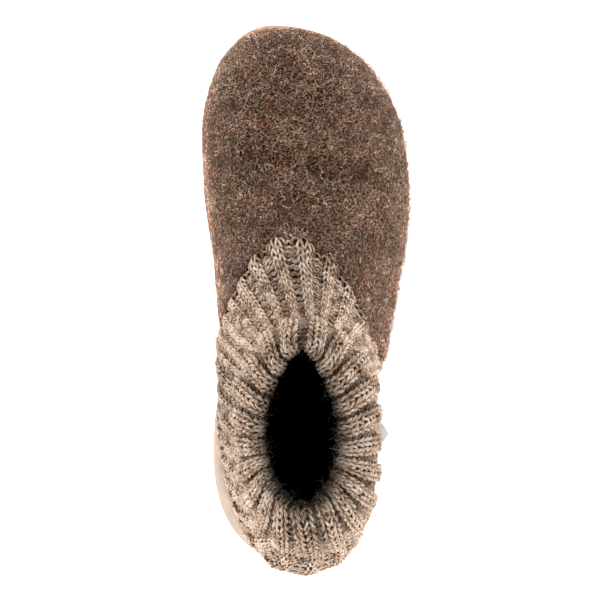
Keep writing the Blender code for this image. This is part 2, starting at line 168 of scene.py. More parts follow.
# Lower edge of the knit: how far it laps over the felt, its lift there and behind the lap, how far it reaches
# down into the sole, and how often its corners are eased
FELT_LAP = 2.6
LAP_LIFT = 1.3
BEHIND_LAP_LIFT = 0.6
KNIT_INTO_SOLE = 3.0
CORNER_EASE = 40

# Cuff: how far it goes down inside, how far its free edge curls down and in, how full its shoulder is, how
# far its crest stands in and up, and the fold's share along it
CUFF_INSIDE = 14.0
CUFF_CURL = 3.0
CUFF_CURL_IN = 1.2
CUFF_SHOULDER = 0.8
CREST_IN, CREST_UP = 2.8, 2.4
CUFF_FOLD_SHARE = 0.56

# How far loops and the wall, dark with painted shade, lie behind their surfaces, the wall's step on the
# grids, how many rows of the cuff it covers, and how many of its own rows there are lined near black with
# painted shade
CUFF_LOOPS_BEHIND = 1.3
LOWER_LOOPS_BEHIND = 1.1
WALL_BEHIND = 2.2
WALL_STEP = 3
WALL_CUFF_ROWS = 52
WALL_LINED_ROWS = 4

# Painted shade on the yarn: brightness of the deepest yarn, of the cuff and of the lower layer, one yarn
# painted darker on the cuff, and how much darker the medial side is painted
DEEP_SHADE = 0.24
CUFF_SHADE = 0.74
LOWER_SHADE = 0.90
MEDIAL_SHADE = 0.24

# Share that the wales run ahead at the opening, so that the ribs lie square to it at the sides
RIB_LEAD = 0.04

# Loose hairs of the knit: name, layer, how many, first course and the course before which they end, least and
# most of their length and rise, and the least brightness that they keep under their yarn's painted shade
LOOSE_HAIRS = (
    ("on the cuff", "cuff", 1600, 0, 12, (2.5, 6.0), (0.3, 1.5), 0.08),
    ("on the lower layer", "lower", 3000, 0, 13, (2.5, 6.0), (0.4, 1.8), 0.08),
    ("into the opening", "cuff", 700, 8, 12, (4.0, 8.0), (0.8, 2.6), 0.14),
)
HAIR_CURL = 2.2
HAIR_KINK = 0.15
HAIR_RADIUS = (0.03, 0.06)
HAIR_COLOUR = (0.42, 0.335, 0.265)

# Knots of the heel seam: shares round the collar where they start and end, how many, radius and colour of the
# thread, and one knot as its step along the seam, share up the knit and lift off it
SEAM_FROM, SEAM_TO = 0.23, 0.75
SEAM_KNOTS = 34
SEAM_THREAD = 0.75
SEAM_COLOUR = (0.066, 0.037, 0.024)
SEAM_KNOT = (
    ("out of the rim", 0.10, 0.16, -1.2),
    ("over the edge", 0.16, 0.19, -0.1),
    ("top", 0.00, 0.22, 0.35),
    ("back", -0.14, 0.25, 0.1),
    ("into the knit", -0.08, 0.28, -1.2),
)
# How much farther up the knit the seam lies behind the heel: name, share round the collar, rise
SEAM_RISE = (
    ("behind the heel", 0.515, 0.0),
    ("back", 0.525, 0.25),
    ("medial back", 0.59, 0.16),
    ("medial rear", 0.68, 0.0),
)

# Sole: where its edge shows most at the toe, how far that spreads, where it begins and is full, how far it
# rolls out and how much paler painted light makes it, then how much darker painted shade makes the heel, and
# where that begins and is full
TOE_EDGE_X = -15.0
TOE_EDGE_SPREAD = 14.0
TOE_EDGE_FROM_Y, TOE_EDGE_TO_Y = 100.0, 124.0
TOE_EDGE_ROLL = 1.0
TOE_EDGE_PAINTED_LIGHT = 0.45
HEEL_PAINTED_SHADE = 0.14
HEEL_DARKER_FROM_Y, HEEL_DARKER_TO_Y = -80.0, -110.0

# Rounding of the tab's edges
TAB_BEVEL = 0.4

# Wool colours of the felt; the near-black dark is partly painted shade, in the pits between fibres and on the
# low fibres
FIBRE_COLOURS = {
    "dark": (0.016, 0.006, 0.003),
    "brown": (0.118, 0.057, 0.032),
    "rust": (0.275, 0.113, 0.058),
    "grey": (0.300, 0.202, 0.141),
    "pale": (0.620, 0.462, 0.350),
}

# Share of its colour strength that felt loses where its painted light makes it twice as bright
PAINTED_LIGHT_GREYING = 0.12

# Gloss of all finishes, colours of felt ground, marled yarn and suede with their places on the ramp, and the
# darkest and palest colour of the plain wools
GLOSS = 0.04
FELT_GROUND = ((0.35, (0.022, 0.011, 0.006)), (0.65, (0.085, 0.045, 0.027)))
MARL_COLOURS = (
    (0.0, (0.066, 0.030, 0.016)),
    (0.3, (0.190, 0.102, 0.061)),
    (0.55, (0.385, 0.282, 0.208)),
    (1.0, (0.570, 0.462, 0.376)),
)
SUEDE_COLOURS = (
    (0.36, (0.180, 0.132, 0.097)),
    (0.5, (0.240, 0.182, 0.138)),
    (0.64, (0.305, 0.240, 0.187)),
)
# Plain wools: the wall behind the loops, dark with painted shade, and the lining and insole, near black with
# painted shade inside the slipper
KNIT_GROUND_SHADE = ((0.030, 0.020, 0.014), (0.11, 0.08, 0.06))
DARK_LINING_SHADE = ((0.004, 0.003, 0.003), (0.010, 0.007, 0.006))
INSOLE_WOOL_SHADE = ((0.004, 0.003, 0.003), (0.012, 0.009, 0.008))

# Listed creases in the felt: name, ends in plan, half width, depth (a trough is negative)
FELT_CREASES = (
    ("flex at the ball", -40.0, 66.0, 34.0, 56.0, 6.0, -0.9),
    ("roll before the flex", -36.0, 78.0, 28.0, 69.0, 8.0, 0.5),
    ("second flex", -30.0, 49.0, 40.0, 42.0, 7.0, -0.6),
    ("medial dent", -38.0, 22.0, -30.0, 42.0, 6.0, -0.8),
    ("lateral dent", 36.0, -2.0, 44.0, 28.0, 7.0, -0.8),
    ("big toe mound", -26.0, 96.0, -20.0, 112.0, 12.0, 0.7),
)
CREASE_FROM_Z, CREASE_TO_Z = 16.0, 30.0
FELT_WAVE = 0.35
FELT_WAVE_LENGTH = 34.0

# Felt fibres: name, where they grow, how many, points along one, and the least and most of their length,
# rise and radius in millimetres, then the shares of their colours
FELT_FIBRES = (
    ("felt_fibres_low", "outside", 14000, 4, (1.0, 2.8), (0.15, 0.45), (0.08, 0.15),
     {"dark": 0.34, "brown": 0.26, "rust": 0.20, "grey": 0.18, "pale": 0.02}),
    ("felt_fibres_top", "outside", 9600, 5, (1.4, 3.8), (0.25, 0.80), (0.05, 0.10),
     {"dark": 0.10, "brown": 0.14, "rust": 0.26, "grey": 0.30, "pale": 0.20}),
    ("felt_long_hairs", "top", 170, 10, (7.0, 16.0), (0.50, 1.20), (0.038, 0.052),
     {"grey": 0.3, "pale": 0.7}),
    ("felt_wisps", "flank", 3200, 5, (2.5, 6.0), (0.8, 2.8), (0.06, 0.10),
     {"dark": 0.12, "brown": 0.38, "rust": 0.20, "grey": 0.26, "pale": 0.04}),
)
FIBRE_CURL = 3.2
FIBRE_KINK = 0.45

# Felt: the line through the foot that its outer face looks away from, the height that its flank ends at, how
# far it reaches down into the sole, how much paler painted light makes it on slopes, at its edge and where it
# is rubbed, how flat its fibres lie there, and how much darker painted shade makes it by the knit
FOOT_LINE_X, FOOT_LINE_TOE_Y, FOOT_LINE_Z = -3.0, 92.0, 24.0
FLANK_TOP_Z = 48.0
FELT_INTO_SOLE = 2.2
SLOPE_PAINTED_LIGHT = 0.32
EDGE_PAINTED_LIGHT = 0.35
RUBBED_PAINTED_LIGHT = 0.40
RUBBED_FLAT = 0.8
THROAT_PAINTED_SHADE = 0.36


def smooth(value, start, end):
    """0 at start, 1 at end, with level ends."""
    t = np.clip((np.asarray(value, float) - start) / (end - start), 0.0, 1.0)
    return t * t * (3.0 - 2.0 * t)


def unit(vectors):
    return vectors / np.maximum(np.linalg.norm(vectors, axis=-1, keepdims=True), 1e-9)


def raised(plan, z):
    return np.column_stack([plan, np.broadcast_to(z, len(plan))])


# Outline and heights of sole and felt


def end_curve(y, side, tip, power):
    t = np.clip((y - side[1]) / (tip[1] - side[1]), 0.0, 1.0)
    return tip[0] + (side[0] - tip[0]) * (1.0 - t**power) ** (1.0 / power)


def medial_x(y):
    y = np.asarray(y, float)
    waist = MEDIAL_HEEL[0] + (MEDIAL_WAIST[0] - MEDIAL_HEEL[0]) * smooth(y, MEDIAL_HEEL[1], MEDIAL_WAIST[1])
    ball = (MEDIAL_BALL[0] - MEDIAL_WAIST[0]) * smooth(y, MEDIAL_WAIST[1], MEDIAL_BALL[1])
    toe = end_curve(y, MEDIAL_BALL, TOE_TIP, MEDIAL_TOE_POWER)
    heel = end_curve(y, MEDIAL_HEEL, HEEL_END, HEEL_POWER)
    return np.where(y > MEDIAL_BALL[1], toe, np.where(y < MEDIAL_HEEL[1], heel, waist + ball))


def lateral_x(y):
    y = np.asarray(y, float)
    side = LATERAL_HEEL[0] + (LATERAL_BALL[0] - LATERAL_HEEL[0]) * smooth(y, LATERAL_HEEL[1], LATERAL_BALL[1])
    toe = end_curve(y, LATERAL_BALL, TOE_TIP, LATERAL_TOE_POWER)
    heel = end_curve(y, LATERAL_HEEL, HEEL_END, HEEL_POWER)
    return np.where(y > LATERAL_BALL[1], toe, np.where(y < LATERAL_HEEL[1], heel, side))


def plan_ring(steps):
    turn = np.pi * np.arange(steps + 1) / steps
    y = (TOE_TIP[1] + HEEL_END[1]) / 2 + (TOE_TIP[1] - HEEL_END[1]) / 2 * np.cos(turn)
    lateral = np.column_stack([lateral_x(y), y])
    medial = np.column_stack([medial_x(y), y])[-2:0:-1]
    return np.vstack([lateral, medial])


def inward(ring):
    along = unit(np.roll(ring, -1, axis=0) - np.roll(ring, 1, axis=0))
    return np.column_stack([along[:, 1], -along[:, 0]])


def heel_cup(y):
    return smooth(y, HEEL_CUP_FROM_Y, HEEL_CUP_TO_Y)


def rim_z(y):
    return RIM_Z + HEEL_CUP_RISE * heel_cup(y)


def rim_inset(y):
    sole_inset = SOLE_FORE_INSET * smooth(y, SOLE_INSET_FROM_Y, SOLE_INSET_TO_Y)
    eased = 1.0 - HEEL_CUP_EASE * smooth(y, HEEL_CUP_EASE_Y, HEEL_END[1])
    return sole_inset + HEEL_CUP_LEAN * heel_cup(y) * eased


def crown_z(y):
    back = TOE_TIP[1] - y
    return TOE_HEIGHT + INSTEP_SLOPE * back + INSTEP_CURVE * back**2


def dome_z(x, y, outer_x):
    across = np.clip((x - RIDGE_X) / (outer_x - RIDGE_X), 0, 1)
    to_toe = smooth(y, DOME_POWER_FROM_Y, DOME_POWER_TO_Y)
    power = DOME_POWER_INSTEP + (DOME_POWER_TOE - DOME_POWER_INSTEP) * to_toe
    return FELT_WIDE_Z + (crown_z(y) - FELT_WIDE_Z) * (1.0 - across**power) ** (1.0 / power)


def side_x(y, side):
    return medial_x(y) if side < 0 else lateral_x(y)


def throat_line(side, forward, count):
    """Felt surface along the throat, moved forward by a distance, from the ridge down to the sole."""
    # The corner where the throat meets the side, stepped to from a guess
    corner_y = -20.0
    for _ in range(60):
        drop = THROAT_CURVE[side] * (float(side_x(corner_y, side)) - RIDGE_X) ** 2
        corner_y = 0.5 * corner_y + 0.5 * (THROAT_Y - drop)
    corner_y += forward
    edge = np.array([float(side_x(corner_y, side)), corner_y])
    ridge = np.array([RIDGE_X, THROAT_Y + forward])
    control = np.array([(edge[0] + ridge[0]) / 2, ridge[1]])
    t = np.linspace(1, 0, 240).reshape(-1, 1) ** 1.6
    plan = (1 - t) ** 2 * edge + 2 * t * (1 - t) * control + t**2 * ridge
    z = dome_z(plan[:, 0], plan[:, 1], side_x(plan[:, 1], side))
    low_z = float(rim_z(corner_y)) + GAP
    tuck = np.linspace(1, 0, 30)[1:]
    low = np.column_stack([
        edge[0] - side * (1 - tuck) ** 2 * FELT_TUCK,
        np.full(len(tuck), edge[1]),
        low_z + (FELT_WIDE_Z - low_z) * tuck,
    ])
    return even_path(np.vstack([np.column_stack([plan, z]), low]), count)


def even_path(points, count):
    """The polyline's points at count + 1 equal steps along it."""
    length = np.concatenate([[0], np.cumsum(np.linalg.norm(np.diff(points, axis=0), axis=1))])
    wanted = np.linspace(0, length[-1], count + 1)
    return np.column_stack([np.interp(wanted, length, points[:, k]) for k in range(points.shape[1])])


# Knit surfaces: grids of points round the collar (first axis) and along the wales (second axis)


def closed_curve(table, count):
    points = np.array([row[1:3] for row in table], float)
    total = len(points)
    dense = []
    for i in range(total):
        p0, p1, p2, p3 = (points[(i + k) % total] for k in (-1, 0, 1, 2))
        spans = ((p0, p1), (p1, p2), (p2, p3))
        k1, k2, k3 = np.cumsum([math.sqrt(np.linalg.norm(b - a)) for a, b in spans])
        for at in np.linspace(k1, k2, 24, endpoint=False):
            a1 = p0 + (p1 - p0) * at / k1
            a2 = p1 + (p2 - p1) * (at - k1) / (k2 - k1)
            a3 = p2 + (p3 - p2) * (at - k2) / (k3 - k2)
            b1 = a1 + (a2 - a1) * at / k2
            b2 = a2 + (a3 - a2) * (at - k1) / (k3 - k1)
            dense.append(b1 + (b2 - b1) * (at - k1) / (k2 - k1))
    dense.append(dense[0])
    return even_path(np.array(dense), count)[:-1]


def led_on(ring):
    """The ring's points moved on along it at the sides, and left in place at its front and back."""
    step = np.arange(ROUND)
    wanted = step + ROUND * RIB_LEAD * np.sin(2 * np.pi * step / ROUND) ** 3
    return np.column_stack([np.interp(wanted, step, ring[:, k], period=ROUND) for k in range(2)])


def collar_value(column):
    step = np.arange(ROUND)
    share = np.minimum(step, ROUND - step) / (ROUND / 2)
    values = np.interp(share, [row[SHARE] for row in COLLAR], [row[column] for row in COLLAR])
    reach = ROUND // 42
    window = 1.0 - np.abs(np.arange(-reach, reach + 1)) / (reach + 1.0)
    padded = np.concatenate([values[-reach:], values, values[:reach]])
    return np.convolve(padded, window / window.sum(), mode="valid")


def knit_base(forward):
    """Lower edge of the knit from the front ridge round by the lateral side: throat, sole rim, throat."""
    sixth = ROUND // 6
    lateral, medial = throat_line(1, forward, sixth), throat_line(-1, forward, sixth)
    plan = plan_ring(400)
    inset = np.reshape(rim_inset(plan[:, 1]), (-1, 1))
    rim = raised(plan + inward(plan) * inset, rim_z(plan[:, 1]) + GAP)
    first = np.argmin(np.linalg.norm(rim[:400] - lateral[-1], axis=1))
    last = 400 + np.argmin(np.linalg.norm(rim[400:] - medial[-1], axis=1))
    rear = even_path(np.vstack([lateral[-1:], rim[first + 1:last], medial[-1:]]), 4 * sixth)
    return np.vstack([lateral[:-1], rear[:-1], medial[:0:-1]])


def curve_between(start, control, end, steps):
    t = np.linspace(0, 1, steps).reshape(1, -1, 1)
    start, control, end = (p[:, None] for p in (start, control, end))
    return (1 - t) ** 2 * start + 2 * t * (1 - t) * control + t**2 * end


def even_rows(grid, count):
    return np.array([even_path(column, count - 1) for column in grid])


def eased_round(grid):
    """The grid smoothed round the collar above its lower edge, so that no corner of that edge runs up it."""
    ease = smooth(np.linspace(0, 1, grid.shape[1]), 0.0, 0.4).reshape(1, -1, 1)
    for _ in range(CORNER_EASE):
        beside = (np.roll(grid, 1, axis=0) + np.roll(grid, -1, axis=0)) / 2
        grid = grid + (beside - grid) * ease / 2
    return grid


def grid_normals(grid):
    around = np.roll(grid, -1, axis=0) - np.roll(grid, 1, axis=0)
    along = np.gradient(grid, axis=1)
    return unit(np.cross(along, around))


def knit_surfaces():
    """Grids of the lower layer, of the cuff from its free edge over the fold into the collar, and of the
    wall's inner side."""
    edge_plan = closed_curve(CUFF_EDGE, ROUND)
    hole_plan = led_on(closed_curve(OPENING, ROUND))
    out_plan = -inward(edge_plan)
    hole_out = -inward(hole_plan)
    tilt = np.radians(collar_value(TILT)).reshape(-1, 1)
    on_lateral = np.arange(ROUND) < ROUND / 2
    full = np.where(on_lateral, collar_value(FULL_LATERAL), collar_value(FULL_MEDIAL)).reshape(-1, 1)
    wall = np.hstack([out_plan * np.cos(tilt), np.sin(tilt)])
    flat_out = np.hstack([out_plan, np.zeros((ROUND, 1))])
    base = knit_base(0.0)
    cuff_edge = raised(edge_plan, collar_value(CUFF_Z))
    under_cuff = cuff_edge - wall * CUFF_LAYER
    inner_cuff = under_cuff - wall * KNIT_WALL
    fold = raised(hole_plan + hole_out * CREST_WIDTH, collar_value(FOLD_Z))
    opening = raised(hole_plan, collar_value(FOLD_Z) - RIM_DROP)

    throat = ROUND // 6
    step = np.arange(ROUND)
    from_front = np.minimum(step, ROUND - step) / throat
    on_felt = (1.0 - smooth(from_front, 0.75, 1.0)).reshape(-1, 1)
    lap = knit_base(FELT_LAP) + np.array([0.0, 0.0, LAP_LIFT])
    bulge = (base + under_cuff) / 2 + flat_out * full
    sunk = base - np.array([0.0, 0.0, KNIT_INTO_SOLE]) * (1.0 - on_felt)
    rise = curve_between(sunk + np.array([0.0, 0.0, BEHIND_LAP_LIFT]) * on_felt, bulge, under_cuff, 40)
    lower = even_rows(np.concatenate([(sunk + (lap - base) * on_felt)[:, None], rise], axis=1), 44)
    lower = eased_round(lower)

    shoulder = cuff_edge * CUFF_SHOULDER + fold * (1.0 - CUFF_SHOULDER)
    shoulder[:, 2] = cuff_edge[:, 2] + CUFF_SHOULDER * (fold[:, 2] - cuff_edge[:, 2])
    crest = (fold + opening) / 2 - np.column_stack([hole_out * CREST_IN, np.full(ROUND, -CREST_UP)])
    down = opening + unit(inner_cuff - opening) * CUFF_INSIDE
    curl = cuff_edge - wall * CUFF_CURL_IN
    curl[:, 2] -= CUFF_CURL
    cuff = np.concatenate([
        curve_between(curl, (curl + cuff_edge) / 2, cuff_edge, 6)[:, :-1],
        curve_between(cuff_edge, shoulder, fold, 40),
        curve_between(fold, crest, opening, 14)[:, 1:],
        curve_between(opening, (opening + down) / 2, down, 12)[:, 1:],
    ], axis=1)
    cuff = even_rows(cuff, 64)

    inner_base = base - flat_out * KNIT_WALL
    inner_bulge = (inner_base + inner_cuff) / 2 + flat_out * full
    inner = curve_between(inner_base, inner_bulge, inner_cuff, 14)
    return lower, cuff, inner


def on_grid(grid, share, along):
    """The grid's value at shares round it and along it, both from 0 to 1."""
    rows, columns = grid.shape[:2]
    a = (share % 1.0) * rows
    b = np.clip(along, 0.0, 1.0) * (columns - 1)
    i = np.floor(a).astype(int)
    j = np.minimum(np.floor(b).astype(int), columns - 2)
    f = (a - i)[..., None]
    g = (b - j)[..., None]
    i %= rows
    k = (i + 1) % rows
    near = grid[i, j] * (1 - f) + grid[k, j] * f
    far = grid[i, j + 1] * (1 - f) + grid[k, j + 1] * f
    return near * (1 - g) + far * g


# Making pieces


def only(thing):
    bpy.ops.object.select_all(action="DESELECT")
    thing.select_set(True)
    bpy.context.view_layer.objects.active = thing


def new_object(name, data):
    thing = bpy.data.objects.new(name, data)
    bpy.context.scene.collection.objects.link(thing)
    return thing


def mesh_piece(name, points, faces):
    """A smooth piece from plan points in millimetres and faces that all have the same number of corners."""
    mesh = bpy.data.meshes.new(name)
    count, corners = faces.shape
    mesh.vertices.add(len(points))
    mesh.loops.add(count * corners)
    mesh.polygons.add(count)
    mesh.vertices.foreach_set("co", ((points - PLAN_MIDDLE) * MM).astype(np.float32).ravel())
    mesh.loops.foreach_set("vertex_index", faces.astype(np.int32).ravel())
    mesh.polygons.foreach_set("loop_start", np.arange(0, count * corners, corners, dtype=np.int32))
    mesh.update(calc_edges=True)
    mesh.validate()
    mesh.shade_smooth()
    return new_object(name, mesh)


def settle(piece, look, slot, *nodes):
    """Gives a finished piece its material and its body, and hides the solids that it stands for; its slot is
    not used.
    """
    piece.data.materials.clear()
    piece.data.materials.append(look)
    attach(piece, "root")
    if nodes:
        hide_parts(*nodes)


def merged_copy(node, name):
    """A copy of a solid as quads, ready for modelling."""
    piece = new_object(name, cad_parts[node].data.copy())
    only(piece)
    bpy.ops.mesh.customdata_custom_splitnormals_clear()
    bpy.ops.object.mode_set(mode="EDIT")
    bpy.ops.mesh.select_all(action="SELECT")
    bpy.ops.mesh.remove_doubles(threshold=1e-5)
    bpy.ops.mesh.tris_convert_to_quads()
    bpy.ops.object.mode_set(mode="OBJECT")
    return piece


def subdivide(piece, levels):
    only(piece)
    rounding = piece.modifiers.new("rounding", "SUBSURF")
    rounding.levels = levels
    rounding.render_levels = levels
    bpy.ops.object.modifier_apply(modifier=rounding.name)
    piece.data.shade_smooth()


def vertex_points(piece):
    """The piece's points in plan millimetres, and its vertex normals."""
    count = len(piece.data.vertices)
    points = np.empty(count * 3, np.float32)
    normals = np.empty(count * 3, np.float32)
    piece.data.vertices.foreach_get("co", points)
    piece.data.vertex_normals.foreach_get("vector", normals)
    return points.reshape(-1, 3).astype(float) / MM + PLAN_MIDDLE, normals.reshape(-1, 3).astype(float)


def move_points(piece, points):
    piece.data.vertices.foreach_set("co", ((points - PLAN_MIDDLE) * MM).astype(np.float32).ravel())
    piece.data.update()


def tint_points(piece, tints):
    """Stores a colour for every point under the name tint."""
    colours = np.column_stack([tints, np.ones(len(tints))]).astype(np.float32)
    piece.data.attributes.new("tint", "FLOAT_COLOR", "POINT").data.foreach_set("color", colours.ravel())


def shade_points(piece, values):
    """Stores a number for every point under the name shade."""
    shade = piece.data.attributes.new("shade", "FLOAT", "POINT")
    shade.data.foreach_set("value", values.astype(np.float32).ravel())


# Materials


def new_look(name, colour, roughness, sheen=0.0, sheen_tint=(1.0, 1.0, 1.0)):
    look = bpy.data.materials.new(name)
    look.use_nodes = True
    shader = look.node_tree.nodes["Principled BSDF"]
    values = {
        "Base Color": (*colour, 1.0), "Roughness": roughness, "Specular IOR Level": GLOSS,
        "Sheen Weight": sheen, "Sheen Roughness": 0.5, "Sheen Tint": (*sheen_tint, 1.0),
    }
    for key, value in values.items():
        shader.inputs[key].default_value = value
    return look, shader


def node(look, kind, **inputs):
    made = look.node_tree.nodes.new(kind)
    for key, value in inputs.items():
        made.inputs[key.replace("_", " ")].default_value = value
    return made


def link(look, source, target):
    look.node_tree.links.new(source, target)


def noise(look, scale, detail, roughness=0.6, place=None):
    made = node(look, "ShaderNodeTexNoise", Scale=scale, Detail=detail, Roughness=roughness)
    if place is None:
        place = node(look, "ShaderNodeTexCoord").outputs["Object"]
    link(look, place, made.inputs["Vector"])
    return made.outputs["Fac"]


def ramp(look, source, *stops):
    """A colour ramp with stops of position and colour."""
    made = node(look, "ShaderNodeValToRGB")
    elements = made.color_ramp.elements
    while len(elements) < len(stops):
        elements.new(0.5)
    for element, (position, colour) in zip(elements, stops):
        element.position = position
        element.color = (*colour, 1.0)
    link(look, source, made.inputs["Fac"])
    return made.outputs["Color"]


def math_node(look, operation, first, second=None):
    made = node(look, "ShaderNodeMath")
    made.operation = operation
    for socket, value in zip(made.inputs, (first, second)):
        if isinstance(value, (int, float)):
            socket.default_value = value
        elif value is not None:
            link(look, value, socket)
    return made.outputs["Value"]


def bump(look, shader, height, distance, strength):
    made = node(look, "ShaderNodeBump", Strength=strength, Distance=distance)
    link(look, height, made.inputs["Height"])
    link(look, made.outputs["Normal"], shader.inputs["Normal"])


def scaled(look, colour, factor):
    """The colour made darker or lighter by a factor that changes over the surface."""
    made = node(look, "ShaderNodeVectorMath")
    made.operation = "SCALE"
    link(look, colour, made.inputs["Vector"])
    link(look, factor, made.inputs["Scale"])
    return made.outputs["Vector"]


def attribute(look, name):
    made = node(look, "ShaderNodeAttribute")
    made.attribute_name = name
    return made


def tangled_lines(look, scale, apart, width):
    """Thin curly lines, 1 on a line and 0 beside it: where a noise pattern crosses its middle value."""
    place = node(look, "ShaderNodeTexCoord")
    moved = node(look, "ShaderNodeVectorMath")
    link(look, place.outputs["Object"], moved.inputs[0])
    moved.inputs[1].default_value = (apart, apart, apart)
    value = noise(look, scale, 1.5, 0.5, moved.outputs["Vector"])
    away = math_node(look, "ABSOLUTE", math_node(look, "SUBTRACT", value, 0.5))
    inside = math_node(look, "SUBTRACT", 1.0, math_node(look, "DIVIDE", away, width))
    return math_node(look, "MAXIMUM", inside, 0.0)


def laid_over(look, under, over, mask):
    """One colour where the mask is 0, the other where it is 1."""
    made = node(look, "ShaderNodeMix")
    made.data_type = "RGBA"
    link(look, mask, made.inputs["Factor"])
    link(look, under, made.inputs[6])
    made.inputs[7].default_value = (*over, 1.0)
    return made.outputs[2]


def felt_ground_look():
    """Dark brown ground, partly painted shade between fibres, under tangled brown, rust, grey and pale
    fibres, in drifting patches, with painted shade in pits.
    """
    look, shader = new_look("felt_ground", (0.08, 0.05, 0.035), 0.95, 0.25, (1.0, 0.90, 0.80))
    shader.inputs["Sheen Roughness"].default_value = 0.22
    colour = ramp(look, noise(look, 1900.0, 2.0), *FELT_GROUND)
    rusty, greyish = (
        ramp(look, noise(look, scale, 3.0), (0.38, (0.35, 0.35, 0.35)), (0.62, (1.0, 1.0, 1.0)))
        for scale in (90.0, 75.0)
    )
    layers = (
        ("brown", 1150.0, 0.0, 0.090, None),
        ("rust", 1020.0, 1.3, 0.085, rusty),
        ("grey", 1080.0, 2.9, 0.080, greyish),
        ("pale", 860.0, 4.7, 0.045, greyish),
    )
    relief = 0.0
    for name, scale, apart, width, share in layers:
        lines = tangled_lines(look, scale, apart, width)
        relief = math_node(look, "ADD", lines, relief)
        mask = lines if share is None else math_node(look, "MULTIPLY", lines, share)
        colour = laid_over(look, colour, FIBRE_COLOURS[name], mask)
    # Painted shade in the pits between the fibres
    shaded_pits = ramp(look, noise(look, 1080.0, 2.0), (0.485, (1.0, 1.0, 1.0)), (0.56, (0.0, 0.0, 0.0)))
    colour = laid_over(look, colour, FIBRE_COLOURS["dark"], shaded_pits)
    patches = math_node(look, "ADD", math_node(look, "MULTIPLY", noise(look, 65.0, 3.0), 2.6), -0.38)
    # The skin's painted light and shade scales its colour, which is greyer where it is lighter
    shade = attribute(look, "shade").outputs["Fac"]
    vivid = math_node(look, "SUBTRACT", 1.0 + PAINTED_LIGHT_GREYING, math_node(look, "MULTIPLY", shade, PAINTED_LIGHT_GREYING))
    greyed_by_light = node(look, "ShaderNodeHueSaturation")
    link(look, vivid, greyed_by_light.inputs["Saturation"])
    link(look, colour, greyed_by_light.inputs["Color"])
    level = math_node(look, "MULTIPLY", patches, shade)
    link(look, scaled(look, greyed_by_light.outputs["Color"], level), shader.inputs["Base Color"])
    bump(look, shader, relief, 0.0006, 0.8)
    return look


def fibre_look(name, sheen):
    look, shader = new_look(name, (0.3, 0.2, 0.15), 0.8, sheen, (1.0, 0.9, 0.82))
    link(look, attribute(look, "tint").outputs["Color"], shader.inputs["Base Color"])
    return look


def marl_yarn_look():
    """Pale wool with brown strands wound along the yarn's own UV map, with painted shade where the loops lie
    deep.
    """
    look, shader = new_look("marl_yarn", (0.3, 0.22, 0.17), 0.9)
    place = node(look, "ShaderNodeUVMap")
    place.uv_map = "yarn"
    parts = node(look, "ShaderNodeSeparateXYZ")
    link(look, place.outputs["UV"], parts.inputs["Vector"])
    wound = math_node(look, "ADD", parts.outputs["X"], parts.outputs["Y"])
    turn = math_node(look, "MULTIPLY", wound, 2 * math.pi)
    strand_place = node(look, "ShaderNodeCombineXYZ")
    length = math_node(look, "MULTIPLY", parts.outputs["Y"], TWIST_LENGTH / STRAND_LENGTH)
    link(look, math_node(look, "MULTIPLY", wound, STRANDS_ROUND_YARN), strand_place.inputs["X"])
    link(look, length, strand_place.inputs["Y"])
    strands = noise(look, 1.0, 2.0, 0.6, strand_place.outputs["Vector"])
    uneven = noise(look, 170.0, 2.0)
    strands = math_node(look, "MULTIPLY", math_node(look, "SUBTRACT", strands, 0.5), 2.0)
    uneven = math_node(look, "MULTIPLY", math_node(look, "SUBTRACT", uneven, 0.5), 1.6)
    fac = math_node(look, "ADD", math_node(look, "ADD", strands, uneven), 0.58)
    colour = ramp(look, fac, *MARL_COLOURS)
    link(look, scaled(look, colour, attribute(look, "shade").outputs["Fac"]), shader.inputs["Base Color"])
    groove = math_node(look, "ABSOLUTE", math_node(look, "SINE", turn))
    bump(look, shader, math_node(look, "ADD", groove, strands), 0.0004, 0.7)
    return look


def wool_ground_look(name, dark, pale):
    look, shader = new_look(name, dark, 0.95)
    wool = noise(look, 700.0, 4.0, 0.7)
    link(look, ramp(look, wool, (0.3, dark), (0.75, pale)), shader.inputs["Base Color"])
    bump(look, shader, wool, 0.0008, 0.7)
    return look


def suede_look():
    """Pale tan hide with a short nap brushed along the shoe and soft darker patches."""
    look, shader = new_look("napped_suede", (0.32, 0.25, 0.2), 0.95, 0.15, (1.0, 0.93, 0.85))
    place = node(look, "ShaderNodeTexCoord")
    brushed = node(look, "ShaderNodeMapping")
    brushed.inputs["Scale"].default_value = (1.0, 0.25, 0.6)
    link(look, place.outputs["Object"], brushed.inputs["Vector"])
    nap = noise(look, 1400.0, 4.0, 0.75, brushed.outputs["Vector"])
    mottle = noise(look, 45.0, 3.0)
    fine = math_node(look, "MULTIPLY", nap, 0.6)
    both = math_node(look, "ADD", fine, math_node(look, "MULTIPLY", mottle, 0.4))
    colour = ramp(look, both, *SUEDE_COLOURS)
    # The sole's painted light and shade scales its colour
    link(look, scaled(look, colour, attribute(look, "shade").outputs["Fac"]), shader.inputs["Base Color"])
    bump(look, shader, nap, 0.0006, 0.7)
    return look


def tab_look():
    look, shader = new_look("tab_weave", (0.5, 0.43, 0.43), 0.8, 0.2)
    place = node(look, "ShaderNodeTexCoord")
    weave = node(look, "ShaderNodeTexWave", Scale=900.0, Distortion=1.0)
    weave.bands_direction = "DIAGONAL"
    link(look, place.outputs["Object"], weave.inputs["Vector"])
    colour = ramp(look, weave.outputs["Fac"], (0.2, (0.34, 0.285, 0.285)), (0.8, (0.48, 0.425, 0.425)))
    link(look, colour, shader.inputs["Base Color"])
    bump(look, shader, weave.outputs["Fac"], 0.0003, 0.6)
    return look


# Hairs


